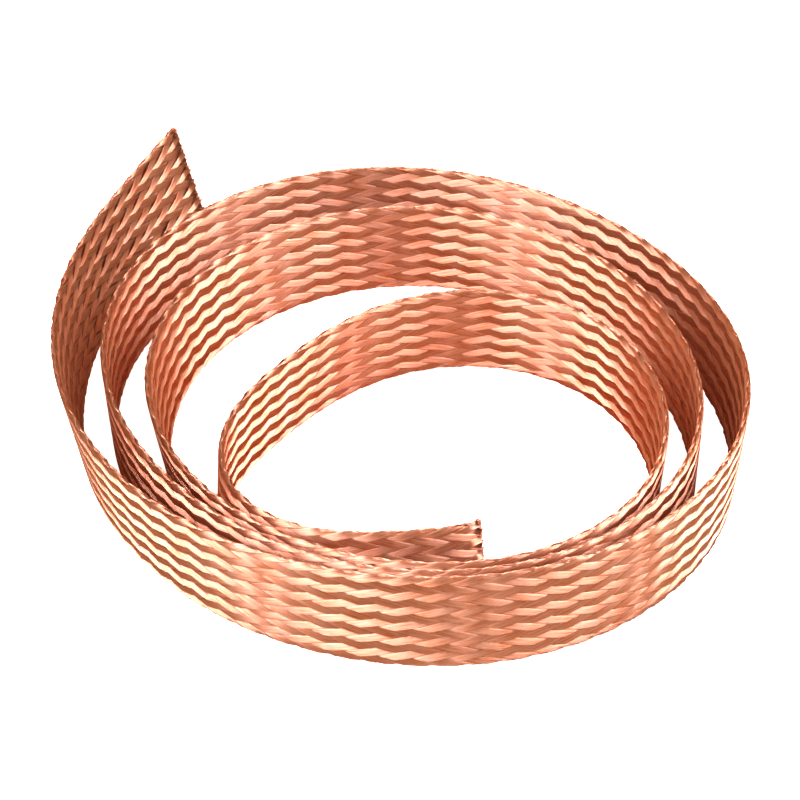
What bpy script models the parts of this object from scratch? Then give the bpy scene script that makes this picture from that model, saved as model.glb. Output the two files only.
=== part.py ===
"""Flexible busbar braid: a flat strap of plaited bare copper wire, loosely rolled and standing on its edge.

The strap is one flattened tube of woven wire. Each of its two faces shows six raised zigzag bands with
valleys between them. It is rolled outward from a square cut end inside the coil to a flared cut end at the
back left. Lengths are in metres, +Z is up, and the origin is the middle of the coil's foot.
"""

import math

import bmesh
import bpy
import numpy as np

MM = 0.001

# The strap
STRAP_WIDTH = 20.0 * MM
CORE_THICKNESS = 0.6 * MM  # from valley to valley through the strap
RIDGE_HEIGHT = 0.25 * MM  # of a woven band above the valleys, on each face
RIDGES = 6  # woven bands across one face
ZIGZAG_PITCH = 7.4 * MM  # along the strap; the wire plait itself is a little finer
ZIGZAG_SWING = 0.8 * MM  # of a band to either side of its own middle

# The roll's middle line, measured from the point that it is rolled around. The innermost turn comes
# first, then the clear gap from each turn to the next one outside it.
FRONT_REACH = 51.5 * MM
FRONT_GAPS = (3.4 * MM, 1.1 * MM, 2.3 * MM)
LEFT_REACH = 32.4 * MM
LEFT_GAPS = (10.5 * MM, 9.6 * MM, 6.0 * MM)
BACK_REACH = 22.0 * MM
BACK_GAPS = (28.4 * MM, 12.4 * MM, 61.9 * MM)
RIGHT_REACH = 19.0 * MM
RIGHT_GAPS = (27.4 * MM, 6.4 * MM, 5.9 * MM)

# How far the roll bulges at its front right and back left corners, and draws in at the other two
INNER_END_BULGE = 4.0 * MM
TURN_BULGES = (0.0 * MM, 1.5 * MM, 2.5 * MM, 2.5 * MM)
OUTER_END_BULGE = -9.5 * MM

# Outward lean of the strap's upper edge at the front, left, back and right of each turn
LEAN_DEG = (-8.0, -3.0, -4.0, 3.0, 3.0, 9.0, 1.0, 0.5, 2.0, 3.0, 6.0, 5.5, -3.0, 14.0)
OUTER_END_LEAN_DEG = 20.0

# The two cut ends, as angles of roll; a full turn from front to front starts at 90
INNER_END_DEG = 54.0
OUTER_END_DEG = 1297.0
FLARE_WIDTH = 2.0 * MM  # that the loosened outer end is wider than the strap
FLARE_LENGTH = 30.0 * MM

COPPER = (0.72, 0.34, 0.19, 1.0)
COPPER_ROUGHNESS = 0.38
SHARP_EDGE_DEG = 50.0

STRAP_THICKNESS = CORE_THICKNESS + 2 * RIDGE_HEIGHT
FRONT_DEG = 90.0
LEFT_DEG = 180.0
BACK_DEG = 270.0
RIGHT_DEG = 0.0
LAST_BULGE_DEG = 1305.0
SAMPLE_DEG = 0.5


def clear_scene():
    for obj in list(bpy.data.objects):
        bpy.data.objects.remove(obj, do_unlink=True)


def copper_material():
    material = bpy.data.materials.new("bare_copper")
    material.use_nodes = True
    shader = material.node_tree.nodes["Principled BSDF"]
    shader.inputs["Base Color"].default_value = COPPER
    shader.inputs["Metallic"].default_value = 1.0
    shader.inputs["Roughness"].default_value = COPPER_ROUGHNESS
    return material


def smooth_through(angle, key_angles, key_values):
    """The value at each angle of a smooth curve through the keys, straight past the first and the last."""
    keys = np.array(key_angles, float)
    values = np.array(key_values, float)
    spans = np.diff(keys)
    chords = np.diff(values) / spans
    slopes = np.empty_like(values)
    slopes[0] = chords[0]
    slopes[-1] = chords[-1]
    slopes[1:-1] = (chords[:-1] * spans[1:] + chords[1:] * spans[:-1]) / (spans[1:] + spans[:-1])
    inside = np.clip(angle, keys[0], keys[-1])
    left = np.clip(np.searchsorted(keys, inside, side="right") - 1, 0, len(keys) - 2)
    span = spans[left]
    t = (inside - keys[left]) / span
    curve = (
        (1 + 2 * t) * (1 - t) ** 2 * values[left]
        + t * (1 - t) ** 2 * span * slopes[left]
        + t * t * (3 - 2 * t) * values[left + 1]
        + t * t * (t - 1) * span * slopes[left + 1]
    )
    before = np.minimum(angle - keys[0], 0.0) * slopes[0]
    after = np.maximum(angle - keys[-1], 0.0) * slopes[-1]
    return curve + before + after


def reach(angle, first_angle, inner_reach, gaps):
    """The roll's reach towards one side, growing by a gap and the strap's thickness with each turn."""
    reaches = [inner_reach]
    for gap in gaps:
        reaches.append(reaches[-1] + gap + STRAP_THICKNESS)
    angles = [first_angle + 360.0 * turn for turn in range(len(reaches))]
    return smooth_through(angle, angles, reaches)


def foot_line(angle):
    """Plan points of the middle of the strap's lower edge, which runs clockwise seen from above."""
    front = -reach(angle, FRONT_DEG, FRONT_REACH, FRONT_GAPS)
    left = -reach(angle, LEFT_DEG, LEFT_REACH, LEFT_GAPS)
    back = reach(angle, BACK_DEG, BACK_REACH, BACK_GAPS)
    right = reach(angle, RIGHT_DEG, RIGHT_REACH, RIGHT_GAPS)
    turn_angles = [FRONT_DEG + 360.0 * turn for turn in range(len(TURN_BULGES))]
    bulge = smooth_through(
        angle,
        [INNER_END_DEG, *turn_angles, LAST_BULGE_DEG],
        [INNER_END_BULGE, *TURN_BULGES, OUTER_END_BULGE],
    )
    cosine = np.cos(np.radians(angle))
    sine = np.sin(np.radians(angle))
    push = bulge * 2 * sine * cosine
    x = (right + left) / 2 + (right - left) / 2 * cosine + push * cosine
    y = (back + front) / 2 - (back - front) / 2 * sine - push * sine
    return np.stack([x, y], axis=-1)


class Roll:
    """The rolled strap's middle surface, measured along the strap from the inner end."""

    def __init__(self):
        steps = math.ceil((OUTER_END_DEG - INNER_END_DEG) / SAMPLE_DEG)
        self.angles = np.linspace(INNER_END_DEG, OUTER_END_DEG, steps + 1)
        strides = np.diff(foot_line(self.angles), axis=0)
        self.along = np.concatenate([[0.0], np.cumsum(np.hypot(strides[:, 0], strides[:, 1]))])
        self.length = self.along[-1]

    def point(self, along, up, out):
        """A point at a distance along the strap, a share up its width, and out from its middle surface."""
        angle = np.interp(along, self.along, self.angles)
        foot = foot_line(angle)
        travel = foot_line(angle + SAMPLE_DEG) - foot_line(angle - SAMPLE_DEG)
        outward = np.stack([-travel[..., 1], travel[..., 0]], axis=-1)
        outward /= np.linalg.norm(outward, axis=-1, keepdims=True)
        lean_angles = [FRONT_DEG + 90.0 * side for side in range(len(LEAN_DEG))]
        lean = np.radians(
            smooth_through(angle, [*lean_angles, OUTER_END_DEG], [*LEAN_DEG, OUTER_END_LEAN_DEG])
        )
        flare = np.clip(1 - (self.length - along) / FLARE_LENGTH, 0.0, 1.0) ** 2
        width = STRAP_WIDTH + FLARE_WIDTH * flare
        plan = foot + outward * (up * width * np.sin(lean) + out)[..., None]
        height = up * width * np.cos(lean)
        return np.concatenate([plan, height[..., None]], axis=-1)


def face_lines(roll, side):
    """The valley and ridge lines of one face, from the lower edge to the upper edge."""
    pitches = round(roll.length / ZIGZAG_PITCH)
    valley_along = np.linspace(0.0, roll.length, pitches + 1)
    ridge_along = np.linspace(0.0, roll.length, 2 * pitches + 1)
    swing = ZIGZAG_SWING / STRAP_WIDTH * (1 - 2 * (np.arange(2 * pitches + 1) % 2))
    valley_out = side * CORE_THICKNESS / 2
    ridge_out = side * STRAP_THICKNESS / 2
    lines = []
    for row in range(RIDGES + 1):
        up = np.full(len(valley_along), row / RIDGES)
        lines.append(roll.point(valley_along, up, np.full(len(valley_along), valley_out)))
        if row < RIDGES:
            up = (row + 0.5) / RIDGES + swing
            lines.append(roll.point(ridge_along, up, np.full(len(ridge_along), ridge_out)))
    return lines


def fill_between(shape, valley, ridge, flip):
    """Three triangles a pitch between a valley line and the zigzag ridge line beside it."""
    for pitch in range(len(valley) - 1):
        crest = ridge[2 * pitch : 2 * pitch + 3]
        here = valley[pitch]
        following = valley[pitch + 1]
        for corners in (
            (here, crest[0], crest[1]),
            (here, crest[1], following),
            (following, crest[1], crest[2]),
        ):
            shape.faces.new(corners[::-1] if flip else corners)


def fill_band(shape, first, second, flip):
    """Quads between two lines that have the same number of points."""
    for step in range(len(first) - 1):
        corners = (first[step], second[step], second[step + 1], first[step + 1])
        shape.faces.new(corners[::-1] if flip else corners)


def braid_strap(roll):
    """One closed solid: two woven faces, joined along the strap's edges and at its cut ends."""
    shape = bmesh.new()
    faces = []
    for side in (-1, 1):
        lines = [[shape.verts.new(point) for point in line] for line in face_lines(roll, side)]
        for row in range(RIDGES):
            below, crest, above = lines[2 * row : 2 * row + 3]
            fill_between(shape, below, crest, flip=side > 0)
            fill_between(shape, above, crest, flip=side < 0)
        faces.append(lines)
    inner, outer = faces
    fill_band(shape, inner[0], outer[0], flip=False)
    fill_band(shape, inner[-1], outer[-1], flip=True)
    for end, flip in ((0, True), (-1, False)):
        fill_band(shape, [line[end] for line in inner], [line[end] for line in outer], flip)
    bmesh.ops.recalc_face_normals(shape, faces=shape.faces[:])
    mesh = bpy.data.meshes.new("braid_strap")
    shape.to_mesh(mesh)
    shape.free()
    mesh.materials.append(copper_material())
    mesh.shade_smooth()
    mesh.set_sharp_from_angle(angle=math.radians(SHARP_EDGE_DEG))
    return mesh


def centre_on_foot(mesh):
    """Moves the mesh so that the middle of its box in plan is over the origin."""
    corners = np.array([vertex.co for vertex in mesh.vertices])
    middle = (corners.min(axis=0) + corners.max(axis=0)) / 2
    for vertex in mesh.vertices:
        vertex.co.x -= middle[0]
        vertex.co.y -= middle[1]


def main():
    clear_scene()
    mesh = braid_strap(Roll())
    centre_on_foot(mesh)
    bpy.context.scene.collection.objects.link(bpy.data.objects.new("braid_strap", mesh))


main()
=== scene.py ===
import math

import bpy
import numpy as np
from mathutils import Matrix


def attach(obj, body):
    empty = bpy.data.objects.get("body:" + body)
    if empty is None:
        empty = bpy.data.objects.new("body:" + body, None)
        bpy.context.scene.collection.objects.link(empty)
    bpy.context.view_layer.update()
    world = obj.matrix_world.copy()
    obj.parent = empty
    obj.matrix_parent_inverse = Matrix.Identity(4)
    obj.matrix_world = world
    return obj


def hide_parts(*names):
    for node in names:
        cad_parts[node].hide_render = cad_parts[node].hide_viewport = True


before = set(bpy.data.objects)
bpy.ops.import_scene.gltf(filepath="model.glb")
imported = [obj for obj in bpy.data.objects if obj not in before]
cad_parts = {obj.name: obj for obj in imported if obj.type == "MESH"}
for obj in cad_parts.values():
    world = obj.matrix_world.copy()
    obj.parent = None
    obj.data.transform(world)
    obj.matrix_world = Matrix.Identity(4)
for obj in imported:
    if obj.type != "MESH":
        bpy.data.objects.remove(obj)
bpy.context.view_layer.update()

MM = 0.001

# The roll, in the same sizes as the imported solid. A reach is the innermost turn's, from the point that the
# strap is rolled around, and the gaps are clear distances from each turn to the next one outside it.
STRAP_WIDTH = 20.0 * MM
STRAP_THICKNESS = 1.1 * MM
FRONT_REACH = 51.5 * MM
FRONT_GAPS = (3.4 * MM, 1.1 * MM, 2.3 * MM)
LEFT_REACH = 32.4 * MM
LEFT_GAPS = (10.5 * MM, 9.6 * MM, 6.0 * MM)
BACK_REACH = 22.0 * MM
BACK_GAPS = (28.4 * MM, 12.4 * MM, 61.9 * MM)
RIGHT_REACH = 19.0 * MM
RIGHT_GAPS = (27.4 * MM, 6.4 * MM, 5.9 * MM)
ROLL_POINT = (0.90 * MM, -9.45 * MM)  # that the strap is rolled around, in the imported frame

# How far the roll bulges at its front right and back left corners, and draws in at the other two
INNER_END_BULGE = 4.0 * MM
TURN_BULGES = (0.0 * MM, 1.5 * MM, 2.5 * MM, 2.5 * MM)
OUTER_END_BULGE = -9.5 * MM

# Outward lean of the strap's upper edge at the front, left, back and right of each turn
LEAN_DEG = (-8.0, -3.0, -4.0, 3.0, 3.0, 9.0, 1.0, 0.5, 2.0, 3.0, 6.0, 5.5, -3.0, 14.0)
OUTER_END_LEAN_DEG = 20.0

# Angles of roll: the two cut ends, and where each side is first passed
INNER_END_DEG = 54.0
OUTER_END_DEG = 1297.0
FRONT_DEG = 90.0
LEFT_DEG = 180.0
BACK_DEG = 270.0
RIGHT_DEG = 0.0
LAST_BULGE_DEG = 1305.0
SAMPLE_DEG = 0.5  # between the points that the strap's course is measured at

# The plait, of flat bundles of wires that pass over two others and then under two
CARRIERS_EACH_WAY = 24
PLAIT_PITCH = 6.0 * MM  # along the strap, while a bundle moves one bundle sideways
BUNDLE_THICKNESS = 0.27 * MM
WEAVE_RISE = 0.135 * MM  # of a bundle out of the strap's face and into it
WEAVE_STEEPNESS = 3.5  # of its step from over to under
EDGE_FLAT = 1.5 * MM  # from either edge of the strap, where the weave lies flatter
EDGE_RISE = 0.55  # of the weave's rise that is left at the very edge
STATIONS_A_CROSSING = 2
BUNDLES_A_PIECE = 6
WIRES = 8  # side by side in a bundle
WIRE_DIAMETER = 0.19 * MM

# A bundle's section: how far across its width, and how far up from its middle in half thicknesses
PROFILE = (
    (-0.50, 0.0),
    (-0.46, 0.85),
    (-0.28, 1.0),
    (0.28, 1.0),
    (0.46, 0.85),
    (0.50, 0.0),
    (0.40, -0.9),
    (-0.40, -0.9),
)

# The loosened cut ends
FLARE_WIDTH = 2.0 * MM  # that the outer end is wider than the strap
FLARE_LENGTH = 30.0 * MM
INNER_LOOSE_LENGTH = 12.0 * MM
OUTER_LOOSE_LENGTH = 80.0 * MM
OUTER_LOOSE_GAIN = 1.4  # over 1, so that the last stretch before the cut is fully loose
INNER_NARROWING = 0.10  # share of its width that a loose bundle loses
OUTER_NARROWING = 0.18
LOOSE_RISE = 0.34 * MM  # these two are the weave's rise and steepness at the outer end
LOOSE_STEEPNESS = 0.8
LOOSE_SHIFT = 0.3 * MM  # that a loose bundle may lie off its place along the weave
LOOSE_LIFT = 0.15 * MM
CUT_SLANT = 0.8 * MM  # that the outer end's upper corner reaches further

# Single wires at the cuts
INNER_FRAY = 0.5 * MM  # longest past the cut
OUTER_FRAY = 0.9 * MM
SHORTEST_FRAY = 0.05  # of the longest
INNER_SPREAD = 0.12  # sideways, in shares of the wire's length
OUTER_SPREAD = 0.20
WIRE_ROOT = 0.4 * MM  # of a single wire that lies inside its bundle
FRAY_STATIONS = 6
FRAY_SIDES = 5
FRAY_STEP = 0.5 * MM  # along the wire coordinates from station to station
SEED = 7

# Bare copper wire
COPPER = (0.95, 0.60, 0.46, 1.0)
COPPER_DARK = (0.82, 0.34, 0.17, 1.0)
COPPER_ROUGHNESS = 0.55
COPPER_ANISOTROPY = 1.0  # the wires spread reflections across themselves
WIRE_RELIEF = 0.25
WIRE_RELIEF_DEPTH = WIRE_DIAMETER * 0.4
TARNISH_SCALE = 220.0
TARNISH_DETAIL = 4.0
TARNISH_SHARE = 0.35  # beside the streaks' share of 1
STREAK_STRETCH = (WIRES, 0.3, 1.0)  # a streak is one wire wide and several bundle widths long
STREAK_DETAIL = 3.0
STREAK_SHIFT = 5.3  # plait pitches between the streaks of neighbouring bundles
GROOVE_SHADE_SHARE = 0.25  # painted shade: a wire's crest is coloured brighter than the groove beside it, by this share
DARK_UP_TO = 0.64
BRIGHT_FROM = 0.94

# The studio: a white floor and wall for the camera, and floors that only reflections show
FLOOR_WHITE = (0.92, 0.92, 0.91, 1.0)
FLOOR_TAN = (0.32, 0.25, 0.19, 1.0)
FLOOR_COPPER = (0.42, 0.17, 0.06, 1.0)  # inside the roll, where copper lights it
FLOOR_RADIUS = 3.0
COPPER_FLOOR_RADIUS = 62.0 * MM
TAN_FLOOR_HEIGHT = -0.3 * MM
COPPER_FLOOR_HEIGHT = -0.2 * MM
FLOOR_SIDES = 64
WALL_RADIUS = 2.7
WALL_FOOT = -0.1
WALL_TOP = 5.4
WALL_SIDES = 32
WHITE_GLOW = 1.0
STAGE_ROUGHNESS = 0.9
STAGE_SPECULAR = 0.1
DAYLIGHT = (0.90, 1.0, 1.14)  # a little cool, so that the copper's highlights turn cream
SOFTBOX_DISTANCE = 0.75
WARM_ROOM = (1.0, 0.78, 0.60, 1.0)
WARM_ROOM_STRENGTH = 0.88
VIEW_GAMMA = 0.72

# The camera, which looks along +Y and down at the roll
CAMERA_ELEVATION_DEG = 38.0
CAMERA_DISTANCE = 450.0 * MM
TARGET_HEIGHT = 10.0 * MM
FOCAL_PIXELS = 2365.0
IMAGE_PIXELS = 800.0
SENSOR_WIDTH = 36.0

# The flattened tube's middle line, with a flat stretch and a bend on either side of the strap
TUBE_INSET = STRAP_THICKNESS / 2
TUBE_FLAT = STRAP_WIDTH - 2 * TUBE_INSET
TUBE_BEND_RADIUS = STRAP_THICKNESS / 4
HALF_ROUND = TUBE_FLAT + math.pi * TUBE_BEND_RADIUS
BUNDLE_SPACING = 2 * HALF_ROUND / CARRIERS_EACH_WAY
BRAID_ANGLE = math.atan2(BUNDLE_SPACING, PLAIT_PITCH)
BUNDLE_WIDTH = BUNDLE_SPACING * math.cos(BRAID_ANGLE)


def smooth_through(angle, key_angles, key_values):
    """The value at each angle of a smooth curve through the keys, straight past the first and the last."""
    keys = np.array(key_angles, float)
    values = np.array(key_values, float)
    spans = np.diff(keys)
    chords = np.diff(values) / spans
    slopes = np.empty_like(values)
    slopes[0] = chords[0]
    slopes[-1] = chords[-1]
    slopes[1:-1] = (chords[:-1] * spans[1:] + chords[1:] * spans[:-1]) / (spans[1:] + spans[:-1])
    inside = np.clip(angle, keys[0], keys[-1])
    left = np.clip(np.searchsorted(keys, inside, side="right") - 1, 0, len(keys) - 2)
    span = spans[left]
    t = (inside - keys[left]) / span
    curve = (
        (1 + 2 * t) * (1 - t) ** 2 * values[left]
        + t * (1 - t) ** 2 * span * slopes[left]
        + t * t * (3 - 2 * t) * values[left + 1]
        + t * t * (t - 1) * span * slopes[left + 1]
    )
    before = np.minimum(angle - keys[0], 0.0) * slopes[0]
    after = np.maximum(angle - keys[-1], 0.0) * slopes[-1]
    return curve + before + after


def reach(angle, first_angle, inner_reach, gaps):
    """The roll's reach towards one side, growing by a gap and the strap's thickness with each turn."""
    reaches = [inner_reach]
    for gap in gaps:
        reaches.append(reaches[-1] + gap + STRAP_THICKNESS)
    angles = [first_angle + 360.0 * turn for turn in range(len(reaches))]
    return smooth_through(angle, angles, reaches)


def foot_line(angle):
    """Plan points of the middle of the strap's lower edge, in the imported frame."""
    front = -reach(angle, FRONT_DEG, FRONT_REACH, FRONT_GAPS)
    left = -reach(angle, LEFT_DEG, LEFT_REACH, LEFT_GAPS)
    back = reach(angle, BACK_DEG, BACK_REACH, BACK_GAPS)
    right = reach(angle, RIGHT_DEG, RIGHT_REACH, RIGHT_GAPS)
    turn_angles = [FRONT_DEG + 360.0 * turn for turn in range(len(TURN_BULGES))]
    bulge = smooth_through(
        angle,
        [INNER_END_DEG, *turn_angles, LAST_BULGE_DEG],
        [INNER_END_BULGE, *TURN_BULGES, OUTER_END_BULGE],
    )
    cosine = np.cos(np.radians(angle))
    sine = np.sin(np.radians(angle))
    push = bulge * 2 * sine * cosine
    x = (right + left) / 2 + (right - left) / 2 * cosine + push * cosine
    y = (back + front) / 2 - (back - front) / 2 * sine - push * sine
    return np.stack([x + ROLL_POINT[0], y + ROLL_POINT[1]], axis=-1)


class Roll:
    """The rolled strap's middle surface, measured along the strap from the inner end."""

    def __init__(self):
        steps = math.ceil((OUTER_END_DEG - INNER_END_DEG) / SAMPLE_DEG)
        angles = np.linspace(INNER_END_DEG, OUTER_END_DEG, steps + 1)
        self.foot = foot_line(angles)
        strides = np.diff(self.foot, axis=0)
        self.along = np.concatenate([[0.0], np.cumsum(np.hypot(strides[:, 0], strides[:, 1]))])
        self.length = self.along[-1]
        travel = foot_line(angles + SAMPLE_DEG) - foot_line(angles - SAMPLE_DEG)
        self.travel = travel / np.linalg.norm(travel, axis=1, keepdims=True)
        lean_angles = [FRONT_DEG + 90.0 * side for side in range(len(LEAN_DEG))]
        self.lean = np.radians(
            smooth_through(angles, [*lean_angles, OUTER_END_DEG], [*LEAN_DEG, OUTER_END_LEAN_DEG])
        )

    def width(self, along):
        """The strap's width, which flares at the outer end."""
        flare = np.clip(1 - (self.length - along) / FLARE_LENGTH, 0.0, 1.0) ** 2
        return STRAP_WIDTH + FLARE_WIDTH * flare

    def point(self, along, up, out):
        """A point at a distance along the strap, a share up its width, and out from its middle surface. The
        strap goes straight on past a cut end, and its foot stays level where it leans."""
        x = np.interp(along, self.along, self.foot[:, 0])
        y = np.interp(along, self.along, self.foot[:, 1])
        ahead_x = np.interp(along, self.along, self.travel[:, 0])
        ahead_y = np.interp(along, self.along, self.travel[:, 1])
        past = along - np.clip(along, 0.0, self.length)
        lean = np.interp(along, self.along, self.lean)
        rise = up * self.width(along)
        sideways = rise * np.sin(lean) + out * np.cos(lean)
        return np.stack(
            [
                x + ahead_x * past - ahead_y * sideways,
                y + ahead_y * past + ahead_x * sideways,
                rise * np.cos(lean) - out * np.sin(lean) * (rise / STRAP_WIDTH),
            ],
            axis=-1,
        )


def tube_section(around):
    """Where a distance around the flattened tube lies: how high up the strap and how far out of its middle.
    The other two values are the outward direction there, in the same two ways."""
    around = np.mod(around, 2 * HALF_ROUND)
    second = around >= HALF_ROUND
    local = np.where(second, around - HALF_ROUND, around)
    turn = np.clip((local - TUBE_FLAT) / TUBE_BEND_RADIUS, 0.0, math.pi)
    facing_up = np.sin(turn)
    facing_out = -np.cos(turn)
    up = TUBE_INSET + np.minimum(local, TUBE_FLAT) + TUBE_BEND_RADIUS * facing_up
    out = TUBE_BEND_RADIUS * facing_out
    up = np.where(second, STRAP_WIDTH - up, up)
    out = np.where(second, -out, out)
    return up, out, np.where(second, -facing_up, facing_up), np.where(second, -facing_out, facing_out)


def looseness(roll, along):
    """0 where the plait is tight, growing to 1 at the inner and at the outer cut end."""
    inner = np.clip(1 - along / INNER_LOOSE_LENGTH, 0.0, 1.0) ** 2
    outer = np.clip(OUTER_LOOSE_GAIN * (1 - (roll.length - along) / OUTER_LOOSE_LENGTH), 0.0, 1.0)
    return inner, outer * outer * (3 - 2 * outer)


def plait_point(roll, number, way, along, sideways, lift, habit):
    """A point of a bundle: sideways across it and lifted out of it, where it lies at a distance along. The
    way is 1 or -1, for the two families that cross, and the habit is how the bundle strays where loose."""
    inner, outer = looseness(roll, along)
    slope = way * BUNDLE_SPACING / PLAIT_PITCH
    around = number * BUNDLE_SPACING + slope * along + sideways * math.cos(BRAID_ANGLE)
    around = around + habit[0] * LOOSE_SHIFT * inner
    here = along - way * sideways * math.sin(BRAID_ANGLE)
    crossing = number + around / BUNDLE_SPACING + way * here / PLAIT_PITCH
    wave = np.cos(math.pi / 2 * (crossing - 0.5))
    up, out, facing_up, facing_out = tube_section(around)
    from_edge = np.clip(np.minimum(up, STRAP_WIDTH - up) / EDGE_FLAT, 0.0, 1.0)
    loose = outer * from_edge
    rise = (WEAVE_RISE + (LOOSE_RISE - WEAVE_RISE) * loose) * (EDGE_RISE + (1 - EDGE_RISE) * from_edge)
    steepness = WEAVE_STEEPNESS + (LOOSE_STEEPNESS - WEAVE_STEEPNESS) * outer
    weave = way * rise * np.tanh(steepness * wave) / np.tanh(steepness)
    height = weave + lift + abs(habit[1]) * LOOSE_LIFT * inner + habit[2] * LOOSE_LIFT * loose
    share_up = (up + facing_up * height) / STRAP_WIDTH
    here = here + CUT_SLANT * outer**3 * share_up
    points = roll.point(here, share_up, out + facing_out * height)
    points[..., 2] = np.maximum(points[..., 2], 0.0)
    return points


def tube_faces(rows, columns):
    """The faces of a closed tube whose rings of points follow one another: its sides, then its two ends."""
    index = np.arange(rows * columns).reshape(rows, columns)
    beside = np.roll(index, -1, axis=1)
    sides = np.stack([index[:-1], beside[:-1], beside[1:], index[1:]], axis=-1).reshape(-1, 4)
    return [*sides, index[0][::-1], index[-1]]


def bundle_of_wires(roll, number, way, habit):
    """One bundle from cut to cut: its points and faces, and how far across and along it each point lies."""
    step = PLAIT_PITCH / 2 / STATIONS_A_CROSSING
    start = -(number * PLAIT_PITCH * way) % step
    along = np.concatenate([[0.0], np.arange(start + step, roll.length - step / 2, step), [roll.length]])
    profile = np.array(PROFILE)
    inner, outer = looseness(roll, along)
    narrow = 1 - OUTER_NARROWING * outer - INNER_NARROWING * inner
    sideways = profile[:, 0][None, :] * BUNDLE_WIDTH * narrow[:, None]
    lift = np.broadcast_to(profile[:, 1][None, :] * BUNDLE_THICKNESS / 2, sideways.shape)
    stations = np.broadcast_to(along[:, None], sideways.shape)
    points = plait_point(roll, number, way, stations, sideways, lift, habit)
    faces = tube_faces(*sideways.shape)
    if way < 0:
        faces = [face[::-1] for face in faces]
    across = np.broadcast_to(profile[:, 0][None, :] + 0.5, sideways.shape).reshape(-1)
    along_wires = stations.reshape(-1) + number * STREAK_SHIFT * PLAIT_PITCH
    return points.reshape(-1, 3), faces, across, along_wires


def single_wire(line):
    """A thin closed tube along a line of points, in the same four values as a bundle."""
    ahead = np.gradient(line, axis=0)
    ahead /= np.linalg.norm(ahead, axis=1, keepdims=True)
    first = np.cross(ahead, [0.0, 0.0, 1.0])
    first /= np.linalg.norm(first, axis=1, keepdims=True)
    second = np.cross(ahead, first)
    turn = np.arange(FRAY_SIDES) * 2 * math.pi / FRAY_SIDES
    ring = first[:, None] * np.cos(turn)[None, :, None] + second[:, None] * np.sin(turn)[None, :, None]
    points = (line[:, None] + WIRE_DIAMETER / 2 * ring).reshape(-1, 3)
    across = np.tile(np.arange(FRAY_SIDES) / FRAY_SIDES / WIRES, len(line))
    along = np.repeat(np.arange(len(line)) * FRAY_STEP, FRAY_SIDES)
    return points, tube_faces(len(line), FRAY_SIDES), across, along


def add_piece(name, parts, material):
    """One object of several parts, which rides on the roll's body. Its sides are smooth and its cuts flat."""
    points, faces, across, along = zip(*parts)
    shifts = np.cumsum([0, *map(len, points)])
    shifted = [(face + shift).tolist() for part, shift in zip(faces, shifts) for face in part]
    mesh = bpy.data.meshes.new(name)
    mesh.from_pydata(np.concatenate(points).tolist(), [], shifted)
    layer = mesh.uv_layers.new(name="wires")
    corners = np.empty(len(mesh.loops), np.int32)
    mesh.loops.foreach_get("vertex_index", corners)
    wire_places = np.stack([np.concatenate(across), np.concatenate(along) / BUNDLE_WIDTH], axis=-1)
    layer.data.foreach_set("uv", wire_places[corners].astype(np.float32).reshape(-1))
    mesh.materials.append(material)
    corner_counts = np.empty(len(mesh.polygons), np.int32)
    mesh.polygons.foreach_get("loop_total", corner_counts)
    mesh.polygons.foreach_set("use_smooth", corner_counts == 4)
    piece = bpy.data.objects.new(name, mesh)
    bpy.context.scene.collection.objects.link(piece)
    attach(piece, "root")
    return piece


def plaited_strap(roll, habits, material):
    """All bundles of the flattened tube, both ways round, several to a piece."""
    parts = [bundle_of_wires(roll, number, way, habit) for (way, number), habit in habits.items()]
    pieces = []
    for first in range(0, len(parts), BUNDLES_A_PIECE):
        name = f"wire_bundles_{first // BUNDLES_A_PIECE + 1}"
        pieces.append(add_piece(name, parts[first : first + BUNDLES_A_PIECE], material))
    return pieces


def frayed_wires(roll, habits, material):
    """Single wires that stand out of the two cut ends, a little spread."""
    random = np.random.default_rng(SEED + 1)
    cuts = ((0.0, -1.0, INNER_FRAY, INNER_SPREAD), (roll.length, 1.0, OUTER_FRAY, OUTER_SPREAD))
    parts = []
    for (way, number), habit in habits.items():
        for cut, outward, longest, spread in cuts:
            for wire in range(WIRES):
                sideways = ((wire + 0.5) / WIRES - 0.5) * BUNDLE_WIDTH
                length = longest * random.uniform(SHORTEST_FRAY, 1.0)
                drift = random.uniform(-spread, spread, 2)
                share = np.linspace(0.0, 1.0, FRAY_STATIONS)
                past = share * (length + WIRE_ROOT) - WIRE_ROOT
                bend = np.maximum(past, 0.0)
                along = cut + outward * past
                line = plait_point(
                    roll, number, way, along, sideways + drift[0] * bend, drift[1] * bend, habit
                )
                parts.append(single_wire(line))
    return add_piece("frayed_wires", parts, material)


def math_node(tree, operation, *values):
    """A math node's result. Each of its values is a number or another node's output."""
    node = tree.nodes.new("ShaderNodeMath")
    node.operation = operation
    for slot, value in zip(node.inputs, values):
        if isinstance(value, bpy.types.NodeSocket):
            tree.links.new(value, slot)
        else:
            slot.default_value = value
    return node.outputs["Value"]


def noise_node(tree, place, scale, detail):
    """A noise texture's value at a place."""
    noise = tree.nodes.new("ShaderNodeTexNoise")
    noise.inputs["Scale"].default_value = scale
    noise.inputs["Detail"].default_value = detail
    tree.links.new(place, noise.inputs["Vector"])
    return noise.outputs["Fac"]


def wire_roundness(tree, wire_place):
    """How far a wire's round surface stands up: 1 on its crest and 0 in the grooves beside it."""
    split = tree.nodes.new("ShaderNodeSeparateXYZ")
    tree.links.new(wire_place, split.inputs["Vector"])
    share = math_node(tree, "FRACT", math_node(tree, "MULTIPLY", split.outputs["X"], WIRES))
    off_middle = math_node(tree, "MULTIPLY_ADD", share, 2.0, -1.0)
    squared = math_node(tree, "POWER", off_middle, 2.0)
    return math_node(tree, "SQRT", math_node(tree, "MULTIPLY_ADD", squared, -1.0, 1.0))


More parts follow.
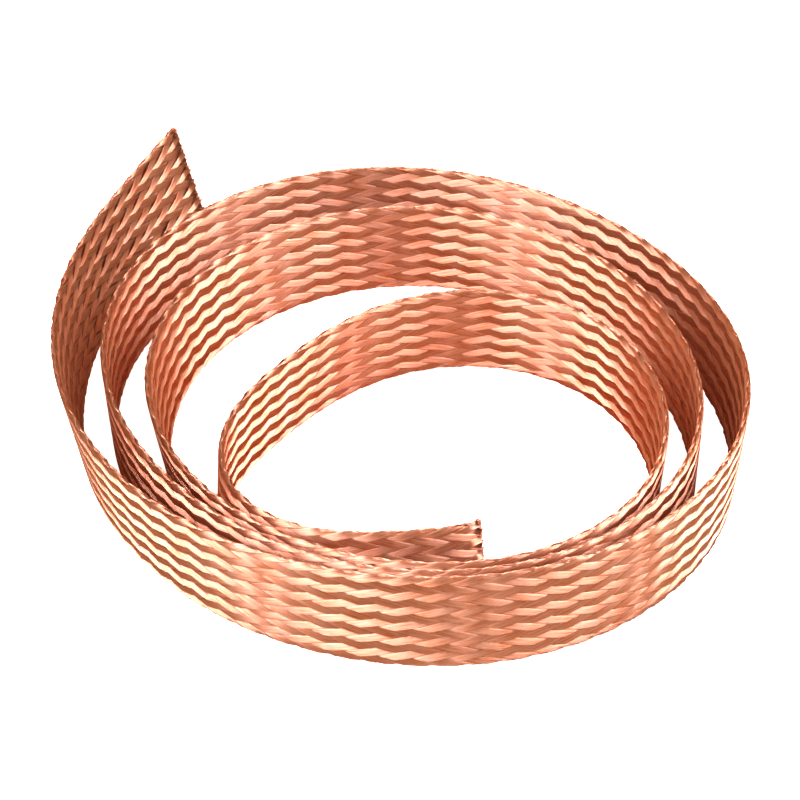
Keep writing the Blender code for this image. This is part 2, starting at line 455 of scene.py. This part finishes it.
def copper_colour(tree, wire_place, roundness):
    """Copper with streaks along the wires, slight tarnish in spots, and painted shade in the grooves between
    the wires, whose crests are coloured brighter.
    """
    place = tree.nodes.new("ShaderNodeTexCoord")
    tarnish = noise_node(tree, place.outputs["Object"], TARNISH_SCALE, TARNISH_DETAIL)
    stretched = tree.nodes.new("ShaderNodeMapping")
    stretched.inputs["Scale"].default_value = STREAK_STRETCH
    tree.links.new(wire_place, stretched.inputs["Vector"])
    streaks = noise_node(tree, stretched.outputs["Vector"], 1.0, STREAK_DETAIL)
    blotches = math_node(tree, "MULTIPLY_ADD", tarnish, TARNISH_SHARE, streaks)
    # painted shade: the grooves between the wires get a darker copper colour than the crests
    brightness = math_node(tree, "MULTIPLY_ADD", roundness, GROOVE_SHADE_SHARE, blotches)
    ramp = tree.nodes.new("ShaderNodeValToRGB")
    dark, bright = ramp.color_ramp.elements
    dark.position = DARK_UP_TO
    dark.color = COPPER_DARK
    bright.position = BRIGHT_FROM
    bright.color = COPPER
    tree.links.new(brightness, ramp.inputs["Fac"])
    return ramp.outputs["Color"]


def wire_relief(tree, roundness):
    """The bump that makes round wires of a bundle's flat face."""
    bump = tree.nodes.new("ShaderNodeBump")
    bump.inputs["Strength"].default_value = WIRE_RELIEF
    bump.inputs["Distance"].default_value = WIRE_RELIEF_DEPTH
    tree.links.new(roundness, bump.inputs["Height"])
    return bump.outputs["Normal"]


def copper_wire():
    """Bare drawn copper wire: fine wires side by side, whose reflections fan out across them."""
    material = bpy.data.materials.new("plaited_copper")
    material.use_nodes = True
    tree = material.node_tree
    shader = tree.nodes["Principled BSDF"]
    shader.inputs["Metallic"].default_value = 1.0
    shader.inputs["Roughness"].default_value = COPPER_ROUGHNESS
    shader.inputs["Anisotropic"].default_value = COPPER_ANISOTROPY
    coordinates = tree.nodes.new("ShaderNodeUVMap")
    coordinates.uv_map = "wires"
    wire_place = coordinates.outputs["UV"]
    tangent = tree.nodes.new("ShaderNodeTangent")
    tangent.direction_type = "UV_MAP"
    tangent.uv_map = "wires"
    tree.links.new(tangent.outputs["Tangent"], shader.inputs["Tangent"])
    roundness = wire_roundness(tree, wire_place)
    tree.links.new(wire_relief(tree, roundness), shader.inputs["Normal"])
    tree.links.new(copper_colour(tree, wire_place, roundness), shader.inputs["Base Color"])
    return material


def stage_material(name, colour, glow):
    """A matt colour, which gives off its own light where it glows."""
    material = bpy.data.materials.new(name)
    material.use_nodes = True
    shader = material.node_tree.nodes["Principled BSDF"]
    shader.inputs["Base Color"].default_value = colour
    shader.inputs["Roughness"].default_value = STAGE_ROUGHNESS
    shader.inputs["Specular IOR Level"].default_value = STAGE_SPECULAR
    shader.inputs["Emission Color"].default_value = colour
    shader.inputs["Emission Strength"].default_value = glow
    return material


def circle(radius, height, sides):
    """The points of a level circle around the roll's middle."""
    turns = [2 * math.pi * side / sides for side in range(sides)]
    return [(radius * math.cos(turn), radius * math.sin(turn), height) for turn in turns]


def studio_mesh(name, points, faces, material):
    """An object for the floor or the wall."""
    mesh = bpy.data.meshes.new(name)
    mesh.from_pydata(points, [], faces)
    mesh.materials.append(material)
    shape = bpy.data.objects.new(name, mesh)
    bpy.context.scene.collection.objects.link(shape)
    return shape


def stage_disc(name, height, radius, material):
    """A level disc that isn't part of the object."""
    disc = studio_mesh(name, circle(radius, height, FLOOR_SIDES), [tuple(range(FLOOR_SIDES))], material)
    return disc


def backdrop(material):
    """A wall around the floor."""
    points = [*circle(WALL_RADIUS, WALL_FOOT, WALL_SIDES), *circle(WALL_RADIUS, WALL_TOP, WALL_SIDES)]
    faces = []
    for side in range(WALL_SIDES):
        following = (side + 1) % WALL_SIDES
        faces.append((side, following, WALL_SIDES + following, WALL_SIDES + side))
    wall = studio_mesh("backdrop", points, faces, material)
    return wall


def area_light(name, target, azimuth_deg, elevation_deg, size, power):
    """A softbox of a width and a height that faces the target. Azimuth 0 is the camera's side, and it grows
    to the right."""
    light = bpy.data.lights.new(name, "AREA")
    light.shape = "RECTANGLE"
    light.size, light.size_y = size
    light.energy = power
    light.color = DAYLIGHT
    lamp = bpy.data.objects.new(name, light)
    azimuth = math.radians(azimuth_deg)
    elevation = math.radians(elevation_deg)
    lamp.location = (
        target[0] + SOFTBOX_DISTANCE * math.sin(azimuth) * math.cos(elevation),
        target[1] - SOFTBOX_DISTANCE * math.cos(azimuth) * math.cos(elevation),
        target[2] + SOFTBOX_DISTANCE * math.sin(elevation),
    )
    lamp.rotation_euler = (math.pi / 2 - elevation, 0.0, azimuth)
    bpy.context.scene.collection.objects.link(lamp)


def warm_room():
    """The world's light, and how the view shows it."""
    world = bpy.data.worlds.new("studio")
    world.use_nodes = True
    background = world.node_tree.nodes["Background"]
    background.inputs["Color"].default_value = WARM_ROOM
    background.inputs["Strength"].default_value = WARM_ROOM_STRENGTH
    scene = bpy.context.scene
    scene.world = world
    scene.view_settings.view_transform = "Standard"
    scene.view_settings.gamma = VIEW_GAMMA


def studio(target):
    """Soft light, a plain white floor and wall, and the floors that the copper reflects."""
    warm_room()
    area_light("softbox_top", target, azimuth_deg=10.0, elevation_deg=78.0, size=(0.30, 0.30), power=0.6)
    area_light("softbox_left", target, azimuth_deg=-57.0, elevation_deg=42.0, size=(0.60, 0.46), power=7.2)
    area_light("softbox_right", target, azimuth_deg=84.0, elevation_deg=42.0, size=(0.52, 0.46), power=6.5)
    white = stage_material("pale_floor", FLOOR_WHITE, WHITE_GLOW)
    tan = stage_material("tan_floor", FLOOR_TAN, 0.0)
    copper_lit = stage_material("copper_lit_floor", FLOOR_COPPER, 0.0)
    floor = stage_disc("floor", 0.0, FLOOR_RADIUS, white)
    wide = stage_disc("reflected_floor", TAN_FLOOR_HEIGHT, FLOOR_RADIUS, tan)
    inside = stage_disc("reflected_floor_inside", COPPER_FLOOR_HEIGHT, COPPER_FLOOR_RADIUS, copper_lit)
    wall = backdrop(white)
    for seen in (floor, wall):
        seen.visible_glossy = False
        seen.visible_diffuse = False
        seen.visible_shadow = False
    for reflected in (wide, inside):
        reflected.visible_camera = False


def photo_camera(target):
    """The camera at the photograph's angle, distance and frame."""
    data = bpy.data.cameras.new("photo_camera")
    data.sensor_width = SENSOR_WIDTH
    data.lens = FOCAL_PIXELS / IMAGE_PIXELS * SENSOR_WIDTH
    data.dof.use_dof = False
    camera = bpy.data.objects.new("photo_camera", data)
    elevation = math.radians(CAMERA_ELEVATION_DEG)
    camera.location = (
        target[0],
        target[1] - CAMERA_DISTANCE * math.cos(elevation),
        target[2] + CAMERA_DISTANCE * math.sin(elevation),
    )
    camera.rotation_euler = (math.pi / 2 - elevation, 0.0, 0.0)
    bpy.context.scene.collection.objects.link(camera)
    bpy.context.scene.camera = camera


def bundle_habits():
    """How each bundle strays where the plait is loose, by its way round and its number."""
    random = np.random.default_rng(SEED)
    bundles = [(way, number) for way in (1, -1) for number in range(CARRIERS_EACH_WAY)]
    return {bundle: random.uniform(-1.0, 1.0, 3) for bundle in bundles}


target = (ROLL_POINT[0], ROLL_POINT[1], TARGET_HEIGHT)
photo_camera(target)
studio(target)
roll = Roll()
habits = bundle_habits()
strap_copper = copper_wire()
pieces = plaited_strap(roll, habits, strap_copper)
pieces.append(frayed_wires(roll, habits, strap_copper))
for piece in pieces:
    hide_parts("braid_strap")
